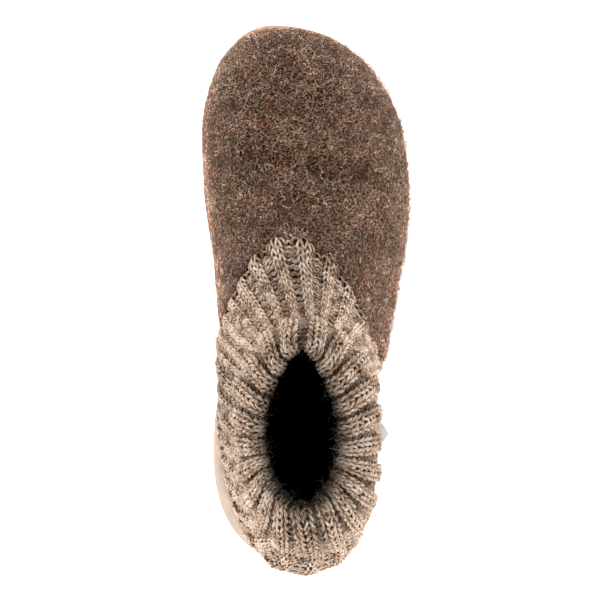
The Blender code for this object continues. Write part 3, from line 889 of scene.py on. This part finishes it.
def spindles(name, paths, radius, tints, sides=3):
    """Closed hairs along paths (hairs, points, xyz), pointed at both ends, with a colour each."""
    count, steps = paths.shape[:2]
    along = unit(np.gradient(paths, axis=1))
    steep = np.abs(along[..., 2:]) > 0.9
    helper = np.where(steep, np.array([1.0, 0.0, 0.0]), np.array([0.0, 0.0, 1.0]))
    across = unit(np.cross(helper, along))
    up = np.cross(along, across)
    turn = 2 * np.pi * np.arange(sides).reshape(1, 1, -1, 1) / sides
    ring = np.cos(turn) * across[:, 1:-1, None] + np.sin(turn) * up[:, 1:-1, None]
    rings = paths[:, 1:-1, None] + radius.reshape(-1, 1, 1, 1) * ring
    points = np.concatenate([paths[:, :1], rings.reshape(count, -1, 3), paths[:, -1:]], axis=1)
    last = sides * (steps - 2) + 1
    one = []
    for j in range(sides):
        k = (j + 1) % sides
        one.append((0, 1 + k, 1 + j))
        one.append((last, last - sides + j, last - sides + k))
        for i in range(steps - 3):
            a, b = 1 + sides * i + j, 1 + sides * i + k
            one += [(a, b, b + sides), (a, b + sides, a + sides)]
    faces = np.array(one)[None] + (np.arange(count) * (last + 1)).reshape(-1, 1, 1)
    piece = mesh_piece(name, points.reshape(-1, 3), faces.reshape(-1, 3))
    tint_points(piece, np.repeat(tints, last + 1, axis=0))
    return piece


def hair_paths(rng, roots, normals, length, rise, curl, kink, steps=5):
    """Curly paths that start just under the surface, run along it and stand off it by their rise."""
    count = len(roots)
    side = unit(np.cross(normals, rng.normal(size=(count, 3))))
    ahead = np.cross(side, normals)
    t = np.linspace(0, 1, steps)
    heading = curl.reshape(-1, 1) * (t - 0.5) + rng.normal(0, kink, (count, steps))
    stride = (length / (steps - 1)).reshape(-1, 1)
    x = np.cumsum(np.cos(heading) * stride, axis=1)
    y = np.cumsum(np.sin(heading) * stride, axis=1)
    x -= x[:, :1]
    y -= y[:, :1]
    arch = np.sin(np.pi * t) * 0.7 + t * 0.3
    sunk = 0.12 * (1 - np.sin(np.pi * t))
    height = rise.reshape(-1, 1) * arch * rng.uniform(0.6, 1.2, (count, steps)) - sunk
    return (
        roots[:, None]
        + x[..., None] * ahead[:, None]
        + y[..., None] * side[:, None]
        + height[..., None] * normals[:, None]
    )


def surface_samples(rng, piece, count, keep):
    """Random points on the faces for which keep is true, with their normals."""
    mesh = piece.data
    mesh.calc_loop_triangles()
    corners = np.empty(len(mesh.loop_triangles) * 3, np.int32)
    mesh.loop_triangles.foreach_get("vertices", corners)
    points, normals = vertex_points(piece)
    triangles = corners.reshape(-1, 3)
    triangles = triangles[keep(points[triangles].mean(axis=1), normals[triangles].mean(axis=1))]
    a, b, c = (points[triangles[:, k]] for k in range(3))
    area = np.linalg.norm(np.cross(b - a, c - a), axis=1)
    chosen = rng.choice(len(triangles), count, p=area / area.sum())
    u, v = rng.random((2, count, 1))
    fold = u + v > 1
    u = np.where(fold, 1 - u, u)
    v = np.where(fold, 1 - v, v)
    at = a[chosen] + u * (b - a)[chosen] + v * (c - a)[chosen]
    normal = normals[triangles[chosen]].mean(axis=1)
    return at, unit(normal)


# Pieces


def slow_waves(points, length, phase):
    """A smooth wandering value, about -1 to 1, that changes over the given length."""
    k = 2 * np.pi / length
    x, y, z = (points * k).T
    first = np.sin(x + 1.7 * np.sin(0.6 * y + phase)) + np.sin(0.8 * y + 1.3 * np.sin(0.7 * z - phase))
    second = np.sin(1.9 * x - 1.1 * y + 2.3 * phase) + np.sin(1.6 * z + 1.4 * x + phase)
    return (first + 0.6 * second) / 2.4


def fibre_tints(rng, roots, shares):
    """A colour for each felt fibre, in drifting patches of grey and rust."""
    names = list(FIBRE_COLOURS)
    drift = slow_waves(roots, 22.0, 0.4) * 0.5 + slow_waves(roots, 9.0, 2.0) * 0.5
    weight = np.tile(np.array([shares.get(name, 0.0) for name in names]), (len(roots), 1))
    for name, pull in (("rust", 1.1), ("grey", -1.1), ("pale", -0.8)):
        weight[:, names.index(name)] *= np.exp(pull * drift)
    level = np.cumsum(weight, axis=1) / weight.sum(axis=1, keepdims=True)
    pick = (rng.random((len(roots), 1)) > level).sum(axis=1)
    tints = np.array([FIBRE_COLOURS[name] for name in names])[pick]
    patches = sum(
        depth * slow_waves(roots, length, phase)
        for depth, length, phase in ((0.22, 27.0, 3.1), (0.26, 11.0, 5.2), (0.20, 5.0, 0.9))
    )
    return tints * (rng.uniform(0.75, 1.3, len(roots)) * np.exp(patches)).reshape(-1, 1)


def felt_crease(points):
    """How far the listed creases move each point along its normal."""
    total = np.zeros(len(points))
    for _, x0, y0, x1, y1, half_width, depth in FELT_CREASES:
        start, run = np.array([x0, y0]), np.array([x1 - x0, y1 - y0])
        t = np.clip((points[:, :2] - start) @ run / (run @ run), 0, 1)
        away = np.linalg.norm(points[:, :2] - start - np.outer(t, run), axis=1)
        total += depth * np.exp(-(away / half_width) ** 2)
    return total


def outside_of_felt(points, normals):
    """True on the felt's outer face: its normal points away from the middle of the foot."""
    line = np.column_stack([
        np.full(len(points), FOOT_LINE_X),
        np.minimum(points[:, 1], FOOT_LINE_TOE_Y),
        np.full(len(points), FOOT_LINE_Z),
    ])
    return (((points - line) * normals).sum(axis=1) > 0) & (normals[:, 1] > -0.6)


def top_of_felt(points, normals):
    """True on the nearly level top of the felt's outer face."""
    return outside_of_felt(points, normals) & (normals[:, 2] > 0.85)


def flank_of_felt(points, normals):
    """True on the steep sides of the felt's outer face, below its edge at the throat."""
    steep = (np.abs(normals[:, 2]) < 0.5) & (points[:, 2] < FLANK_TOP_Z)
    return outside_of_felt(points, normals) & steep


def rubbed_and_lit(normals):
    """How much the felt is worn flat and made paler with painted light, from 0 to 1: on the steep medial side
    and round the toe.
    """
    steep = smooth(normals[:, 2], 0.75, 0.25)
    return steep * smooth(0.8 * normals[:, 1] - normals[:, 0], 0.0, 0.6)


def felt_level(points, normals):
    """Painted light and shade beside the felt's top: paler on slopes, at its edge and where it is rubbed,
    darker by the knit.
    """
    outer = smooth(normals[:, 1], -0.45, -0.15)
    slope = smooth(normals[:, 2], 0.97, 0.75) * outer
    edge = smooth(normals[:, 2], 0.55, 0.15) * outer
    medial = smooth(-normals[:, 0], 0.1, 0.6) * (1.0 - edge)
    by_throat = smooth(points[:, 1], 60.0, 20.0)
    rubbed_light = RUBBED_PAINTED_LIGHT * rubbed_and_lit(normals) * (1.0 - 0.5 * by_throat)
    return 1.0 + SLOPE_PAINTED_LIGHT * slope + EDGE_PAINTED_LIGHT * edge + rubbed_light - THROAT_PAINTED_SHADE * medial * by_throat


# Places where the felt's fibres grow
FELT_PLACES = {"outside": outside_of_felt, "top": top_of_felt, "flank": flank_of_felt}


def make_felt():
    skin = merged_copy("felt_vamp", "felt_skin")
    subdivide(skin, 2)
    points, normals = vertex_points(skin)
    outer = outside_of_felt(points, normals)
    shift = felt_crease(points) + FELT_WAVE * slow_waves(points, FELT_WAVE_LENGTH, 1.0)
    shift *= smooth(points[:, 2], CREASE_FROM_Z, CREASE_TO_Z)
    moved = points + normals * np.where(outer, shift, -shift).reshape(-1, 1)
    moved[:, 2] -= FELT_INTO_SOLE * smooth(points[:, 2], FELT_WIDE_Z, RIM_Z + 1.0)
    move_points(skin, moved)
    # Painted light and shade of the felt, kept as the skin's shade
    shade_points(skin, felt_level(points, normals))
    settle(skin, felt_ground_look(), "brown_felt", "felt_vamp")

    rng = np.random.default_rng(SEED)
    fibres = fibre_look("felt_fibre", 0.0)
    for name, place, count, steps, lengths, rises, widths, shares in FELT_FIBRES:
        roots, normal = surface_samples(rng, skin, count, FELT_PLACES[place])
        rise = rng.uniform(*rises, count) * (1.0 - RUBBED_FLAT * rubbed_and_lit(normal))
        length = rng.uniform(*lengths, count)
        curl = rng.normal(0, FIBRE_CURL, count)
        paths = hair_paths(rng, roots, normal, length, rise, curl, FIBRE_KINK, steps)
        tints = fibre_tints(rng, roots, shares)
        # Each fibre takes the felt's painted light and shade, greyer where it is lighter
        level = felt_level(roots, normal).reshape(-1, 1)
        strongest = tints.max(axis=1, keepdims=True)
        tints = (strongest - (strongest - tints) * (1.0 + PAINTED_LIGHT_GREYING - PAINTED_LIGHT_GREYING * level)) * level
        settle(spindles(name, paths, rng.uniform(*widths, count), tints), fibres, "brown_felt")


def changing(row, along):
    """A value that changes along the wales: its first value, the change, where that begins and ends."""
    value, change, start, end = row
    return value + change * smooth(along, start, end)


def loop_yarn(rng, grid, knit, share_of, turn_over):
    """Closed yarns, one for each course, whose loops hang in each other: two knit wales, two purl wales.

    Gives the yarns' rings of points, the length along each yarn, a painted shade for each step by how deep it
    lies in its loop and in the purl valleys, and its shares along the wales and round the collar."""
    wales, courses, sides, depth = (knit[key] for key in ("wales", "courses", "sides", "depth"))
    normals = grid_normals(grid)
    steps = wales * knit["points"]
    at = np.arange(steps) / knit["points"]
    turn = 2 * np.pi * (at % 1.0)
    ribbing = np.tanh(RIB_SHARPNESS * -np.cos(np.pi * at / 2)) / np.tanh(RIB_SHARPNESS)
    course = np.arange(courses).reshape(-1, 1)

    def uneven(size):
        """A random value for each stitch, joined smoothly along its course."""
        values = rng.normal(0, size, (courses, wales))
        ring = np.hstack([values[:, -1:], values, values[:, :1]])
        return np.array([np.interp(at, np.arange(-1, wales + 1) + 0.5, row) for row in ring])

    height = knit["height"] * (1 + uneven(UNEVEN["height"]))
    direction = -1.0 if turn_over else 1.0
    along = (course + 0.5 - direction * height * np.cos(turn) + uneven(UNEVEN["along"])) / courses
    along = knit["first"] + (1.0 - knit["first"]) * along
    along = np.clip(along - RIB_END_SCALLOP * ribbing * (1.0 - smooth(along, 0.0, 0.25)), 0.0, 1.0)
    knit_share = changing(knit["knit_share"], along)
    knit_width, purl_width = 2 * knit_share, 2 * (1 - knit_share)
    rib_index, q = np.divmod(at, 4.0)
    knit_part = purl_width + (q - 1) * knit_width
    last_purl = purl_width + 2 * knit_width + (q - 3) * purl_width
    inside = np.where(q < 1, q * purl_width, np.where(q < 3, knit_part, last_purl))
    width = np.where((q > 1) & (q < 3), knit_width, purl_width)
    wale = rib_index * 4 + inside + LOOP_WAIST * width * np.sin(2 * turn) + uneven(UNEVEN["across"])
    share = share_of(wale)
    rib_height = changing(knit["rib_height"], along)
    lift = ribbing * (rib_height - depth * np.cos(2 * turn)) + uneven(UNEVEN["lift"])
    # Painted shade: darker where the yarn lies deep in its loop and in the purl valleys
    outward = 0.5 - 0.5 * ribbing * np.cos(2 * turn)
    valley_shade = knit["valley_shade"] * smooth(along, 0.1, 0.45)
    shade = DEEP_SHADE + (1.0 - DEEP_SHADE) * smooth(outward, 0.1, 0.8)
    shade = shade * (1.0 - valley_shade + valley_shade * ribbing)
    normal = on_grid(normals, share, along)
    centre = on_grid(grid, share, along) + normal * lift[..., None]

    run = unit(np.roll(centre, -1, axis=1) - np.roll(centre, 1, axis=1))
    across = unit(np.cross(normal, run))
    up = np.cross(run, across)
    around = 2 * np.pi * np.arange(sides).reshape(1, 1, -1, 1) / sides
    thick = (knit["yarn"] * (1 + uneven(UNEVEN["thickness"]))).reshape(courses, steps, 1, 1)
    ring = np.cos(around) * across[:, :, None] + np.sin(around) * up[:, :, None]
    rings = centre[:, :, None] + thick * ring
    length = np.cumsum(np.linalg.norm(np.diff(centre, axis=1, append=centre[:, :1]), axis=2), axis=1)
    return rings, length + rng.uniform(0, 50, (courses, 1)), shade, along, share


def yarn_piece(name, rings, length, shade):
    """One joined mesh of closed yarns, with a UV map round and along each yarn and a shade for its points."""
    courses, steps, sides = rings.shape[:3]
    c, i, j = np.meshgrid(np.arange(courses), np.arange(steps), np.arange(sides), indexing="ij")
    nearer, farther = (i, (i + 1) % steps)
    left, right = (j, (j + 1) % sides)

    def index(step, side):
        return (c * steps + step) * sides + side

    corners = ((nearer, left), (nearer, right), (farther, right), (farther, left))
    faces = np.stack([index(step, side) for step, side in corners], axis=-1)
    piece = mesh_piece(name, rings.reshape(-1, 3), faces.reshape(-1, 4))
    begin = np.hstack([2 * length[:, :1] - length[:, 1:2], length[:, :-1]]) / TWIST_LENGTH
    v0 = np.repeat(begin[..., None], sides, axis=2)
    v1 = np.repeat((length / TWIST_LENGTH)[..., None], sides, axis=2)
    u0, u1 = j / sides, (j + 1) / sides
    uv = np.stack([u0, v0, u1, v0, u1, v1, u0, v1], axis=-1).astype(np.float32)
    piece.data.uv_layers.new(name="yarn").data.foreach_set("uv", uv.ravel())
    shade_points(piece, np.repeat(shade[..., None], sides, axis=2))
    return piece


def cuff_share(wale):
    return wale / CUFF_KNIT["wales"]


def lower_share(wale):
    """Share round the collar for a wale of the lower layer: closer wales along the throat."""
    total = LOWER_KNIT["wales"]
    rear = total - LOWER_THROAT_WALES
    return np.interp(wale % total, [0, LOWER_THROAT_WALES, rear, total], [0, 1 / 6, 5 / 6, 1])


def inside_shade(along):
    """Painted shade that fades to near black from the fold into the collar."""
    return 1.0 - 0.95 * smooth(along, CUFF_FOLD_SHARE, CUFF_FOLD_SHARE + 0.16)


def medial_shade(share):
    """Painted shade: the lower layer is a little darker on the medial side, between the heel and the felt."""
    return 1.0 - MEDIAL_SHADE * smooth(share, 0.63, 0.76) * smooth(share, 0.90, 0.80)


def make_knit():
    rng = np.random.default_rng(SEED + 1)
    lower, cuff, inner = knit_surfaces()
    yarn = marl_yarn_look()
    ground = cuff - CUFF_LOOPS_BEHIND * grid_normals(cuff)
    rings, length, shade, along, share = loop_yarn(rng, ground, CUFF_KNIT, cuff_share, True)
    # Painted shade on the cuff's yarn, near black inside the collar
    shade = CUFF_SHADE * shade * inside_shade(along)
    settle(yarn_piece("cuff_yarn", rings, length, shade), yarn, "marl_knit")
    ground = lower - LOWER_LOOPS_BEHIND * grid_normals(lower)
    low_rings, low_length, low_shade, _, low_share = loop_yarn(rng, ground, LOWER_KNIT, lower_share, False)
    # Painted shade on the lower layer, darker on the medial side
    low_shade = LOWER_SHADE * low_shade * medial_shade(low_share)
    half = LOWER_KNIT["courses"] // 2
    for name, courses in (("lower_yarn_base", slice(0, half)), ("lower_yarn_top", slice(half, None))):
        piece = yarn_piece(name, low_rings[courses], low_length[courses], low_shade[courses])
        settle(piece, yarn, "marl_knit")
    make_wall(lower, cuff, inner)
    make_fuzz(rng, {"cuff": (rings, shade, share), "lower": (low_rings, low_shade, low_share)})
    make_seam(lower)


def make_wall(lower, cuff, inner):
    """The ground behind the loops, dark with painted shade, closed from its lower edge over the fold to the
    inside.
    """
    low_back = lower - WALL_BEHIND * grid_normals(lower)
    cuff_back = cuff - WALL_BEHIND * grid_normals(cuff)
    rows = np.concatenate([
        low_back[::WALL_STEP, 1::WALL_STEP],
        cuff_back[::WALL_STEP, 0:WALL_CUFF_ROWS:WALL_STEP],
        inner[::WALL_STEP, ::-1],
    ], axis=1)
    around, along = rows.shape[:2]
    i, j = np.meshgrid(np.arange(around), np.arange(along), indexing="ij")
    k, m = (i + 1) % around, (j + 1) % along
    faces = np.stack([i * along + j, i * along + m, k * along + m, k * along + j], axis=-1).reshape(-1, 4)
    wall = mesh_piece("knit_wall", rows.reshape(-1, 3), faces)
    only(wall)
    bpy.ops.object.mode_set(mode="EDIT")
    bpy.ops.mesh.select_all(action="SELECT")
    bpy.ops.mesh.normals_make_consistent(inside=False)
    bpy.ops.object.mode_set(mode="OBJECT")
    settle(wall, wool_ground_look("knit_ground", *KNIT_GROUND_SHADE), "marl_knit", "knit_collar")
    # Lining painted near black as shade inside the collar
    wall.data.materials.append(wool_ground_look("dark_lining", *DARK_LINING_SHADE))
    lined = np.zeros((around, along), np.int32)
    lined[:, along - inner.shape[1] - WALL_LINED_ROWS:] = 1
    wall.data.polygons.foreach_set("material_index", lined.ravel())


def make_fuzz(rng, layers):
    """Fine hairs standing off the yarn, pale outside and dark under the yarn's painted shade, fewer on the
    tongue.
    """
    paths, levels = [], []
    for _, layer, count, first, last, lengths, rises, least in LOOSE_HAIRS:
        rings, shade, share = layers[layer]
        from_front = np.minimum(share[0], 1.0 - share[0])
        weight = 0.15 + 0.85 * smooth(from_front, 0.06, 0.20)
        c = rng.integers(first, last, count)
        s = rng.choice(rings.shape[1], count, p=weight / weight.sum())
        k = rng.integers(0, rings.shape[2], count)
        roots = rings[c, s, k]
        normals = unit(roots - rings.mean(axis=2)[c, s])
        length = rng.uniform(*lengths, count)
        rise = rng.uniform(*rises, count)
        curl = rng.normal(0, HAIR_CURL, count)
        paths.append(hair_paths(rng, roots, normals, length, rise, curl, HAIR_KINK))
        # Each hair takes the painted shade of its yarn
        levels.append(rng.uniform(0.5, 1.3, count) * np.maximum(smooth(shade[c, s], 0.05, 0.5), least))
    tints = np.concatenate(levels).reshape(-1, 1) * np.array(HAIR_COLOUR)
    radius = rng.uniform(*HAIR_RADIUS, len(tints))
    settle(spindles("knit_fuzz", np.vstack(paths), radius, tints), fibre_look("knit_fuzz", 0.1), "marl_knit")


def make_sole():
    """The sole, with its edge rolled out a little round the toe, where it shows past the felt."""
    sole = merged_copy("sole", "suede_sole")
    subdivide(sole, 2)
    points, normals = vertex_points(sole)
    plan_out = normals * np.array([1.0, 1.0, 0.0])
    toe = smooth(points[:, 1], TOE_EDGE_FROM_Y, TOE_EDGE_TO_Y)
    toe = toe * np.exp(-((points[:, 0] - TOE_EDGE_X) / TOE_EDGE_SPREAD) ** 2)
    roll = TOE_EDGE_ROLL * toe * smooth(points[:, 2], 1.0, 6.0) * (normals[:, 1] > 0.15)
    move_points(sole, points + plan_out * roll.reshape(-1, 1))
    # Painted light on the toe edge and painted shade at the heel
    heel = smooth(points[:, 1], HEEL_DARKER_FROM_Y, HEEL_DARKER_TO_Y)
    shade_points(sole, 1.0 + TOE_EDGE_PAINTED_LIGHT * toe - HEEL_PAINTED_SHADE * heel)
    settle(sole, suede_look(), "suede", "sole")


def make_seam(lower):
    """Uneven dark knots that sew the rim of the heel cup to the knit."""
    rng = np.random.default_rng(SEED + 2)
    step = (SEAM_TO - SEAM_FROM) / SEAM_KNOTS
    start = SEAM_FROM + step * (np.arange(SEAM_KNOTS) + rng.uniform(-0.3, 0.3, SEAM_KNOTS))
    ahead, up, lift = np.array([row[1:] for row in SEAM_KNOT]).T
    share = start.reshape(-1, 1) + step * ahead * rng.uniform(-1.5, 1.5, (SEAM_KNOTS, 1))
    rise = np.interp(share, [row[1] for row in SEAM_RISE], [row[2] for row in SEAM_RISE])
    along = up + rng.uniform(-0.03, 0.06, (SEAM_KNOTS, 1)) + rise
    normal = on_grid(grid_normals(lower), share, along)
    paths = on_grid(lower, share, along) + normal * lift.reshape(-1, 1)
    tints = np.array(SEAM_COLOUR) * rng.uniform(0.6, 1.8, (SEAM_KNOTS, 1))
    radius = SEAM_THREAD * rng.uniform(0.6, 1.2, SEAM_KNOTS)
    thread = spindles("heel_seam_stitches", paths, radius, tints, 6)
    settle(thread, fibre_look("seam_thread", 0.0), "marl_knit")


def make_insole():
    insole = merged_copy("insole", "insole_pad")
    subdivide(insole, 1)
    # Insole painted near black as shade inside the slipper
    settle(insole, wool_ground_look("insole_wool", *INSOLE_WOOL_SHADE), "insole_felt", "insole")


def make_tab():
    tab = merged_copy("side_tab", "side_tab_cloth")
    only(tab)
    edges = tab.modifiers.new("soft edges", "BEVEL")
    edges.width = TAB_BEVEL * MM
    edges.segments = 2
    bpy.ops.object.modifier_apply(modifier=edges.name)
    tab.data.shade_smooth()
    settle(tab, tab_look(), "tab_cloth", "side_tab")


# Floor, light and camera


def softbox(name, place, target, power):
    lamp = bpy.data.lights.new(name, "AREA")
    lamp.shape = "SQUARE"
    lamp.size = SOFTBOX_SIZE
    lamp.energy = power
    thing = new_object(name, lamp)
    thing.location = place
    thing.rotation_euler = (Vector(target) - Vector(place)).to_track_quat("-Z", "Y").to_euler()


def make_stage():
    bpy.ops.object.select_all(action="DESELECT")
    bpy.ops.mesh.primitive_plane_add(size=FLOOR_SIZE, location=(0.0, 0.0, 0.0))
    floor = bpy.context.active_object
    floor.name = "floor"
    look, shader = new_look("pale_floor", (0.9, 0.9, 0.9), 0.9)
    shader.inputs["Emission Color"].default_value = (1.0, 1.0, 1.0, 1.0)
    shader.inputs["Emission Strength"].default_value = FLOOR_GLOW
    floor.data.materials.append(look)

    world = bpy.data.worlds.new("studio")
    world.use_nodes = True
    room = world.node_tree.nodes["Background"]
    room.inputs["Color"].default_value = (1.0, 1.0, 1.0, 1.0)
    room.inputs["Strength"].default_value = ROOM_LIGHT
    bpy.context.scene.world = world
    for name, place, target, power in SOFTBOXES:
        softbox(name, place, target, power)
    bpy.context.scene.view_settings.view_transform = "Standard"

    lens = bpy.data.cameras.new("camera")
    lens.lens = CAMERA_LENS
    lens.sensor_width = CAMERA_SENSOR
    camera = new_object("camera", lens)
    camera.location = (-PLAN_MIDDLE[0] * MM, -PLAN_MIDDLE[1] * MM, CAMERA_HEIGHT)
    bpy.context.scene.camera = camera


make_stage()
make_sole()
make_insole()
make_felt()
make_knit()
make_tab()
